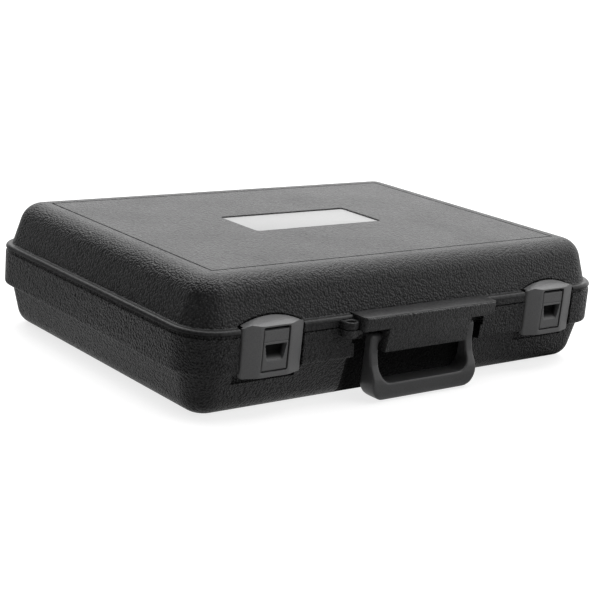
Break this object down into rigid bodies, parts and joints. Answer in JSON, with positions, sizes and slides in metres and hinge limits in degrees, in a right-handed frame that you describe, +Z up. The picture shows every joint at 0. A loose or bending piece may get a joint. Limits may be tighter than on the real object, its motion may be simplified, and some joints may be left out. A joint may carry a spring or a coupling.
{
  "type": "otoscope carry case",
  "caption": "Blow-moulded hard carry case for an otoscope set, with a hinged lid, two trigger latches, a swinging grip handle and fitted foam.",
  "frame": {"origin": "on the ground under the middle of the rim, case lying flat on its base, lid shut", "axes": "+Z up, +X along the long side to the right seen from the handle, -Y out of the handle side"},
  "size_m": [0.4, 0.3115, 0.098],
  "materials": {
    "moulded_shell": "pebble-grained black, soft sheen",
    "smooth_black": "smooth satin black",
    "label": "plain light grey, bare",
    "foam": "open-cell charcoal foam",
    "steel": "plain bright pin stock"
  },
  "bodies": {
    "base": {"base_shell": "moulded_shell", "handle_bracket": "moulded_shell", "bracket_screws": "steel", "left_handle_pin": "steel", "right_handle_pin": "steel", "left_hinge_pin": "steel", "right_hinge_pin": "steel", "left_latch_pin": "steel", "right_latch_pin": "steel", "base_foam_pad": "foam", "base_foam_tray": "foam"},
    "lid": {"lid_shell": "moulded_shell", "label_plate": "label", "lid_foam": "foam"},
    "handle": {"carry_handle": "smooth_black"},
    "left_latch": {"left_latch_frame": "smooth_black", "left_trigger_pin": "steel"},
    "right_latch": {"right_latch_frame": "smooth_black", "right_trigger_pin": "steel"},
    "left_trigger": {"left_latch_trigger": "smooth_black"},
    "right_trigger": {"right_latch_trigger": "smooth_black"}
  },
  "joints": [
    {"name": "lid_hinge", "type": "hinge", "parent": "base", "child": "lid", "pos_m": [0, 0.1492, 0.0615], "axis": [-1, 0, 0], "range_deg": [0, 100]},
    {"name": "handle_swing", "type": "hinge", "parent": "base", "child": "handle", "pos_m": [0, -0.145, 0.047], "axis": [-1, 0, 0], "range_deg": [0, 100]},
    {"name": "left_latch_swing", "type": "hinge", "parent": "base", "child": "left_latch", "pos_m": [-0.1355, -0.1408, 0.0345], "axis": [1, 0, 0], "range_deg": [0, 95]},
    {"name": "right_latch_swing", "type": "hinge", "parent": "base", "child": "right_latch", "pos_m": [0.1355, -0.1408, 0.0345], "axis": [1, 0, 0], "range_deg": [0, 95]},
    {"name": "left_trigger_pull", "type": "hinge", "parent": "left_latch", "child": "left_trigger", "pos_m": [-0.1355, -0.143, 0.056], "axis": [-1, 0, 0], "range_deg": [0, 25]},
    {"name": "right_trigger_pull", "type": "hinge", "parent": "right_latch", "child": "right_trigger", "pos_m": [0.1355, -0.143, 0.056], "axis": [-1, 0, 0], "range_deg": [0, 25]}
  ]
}
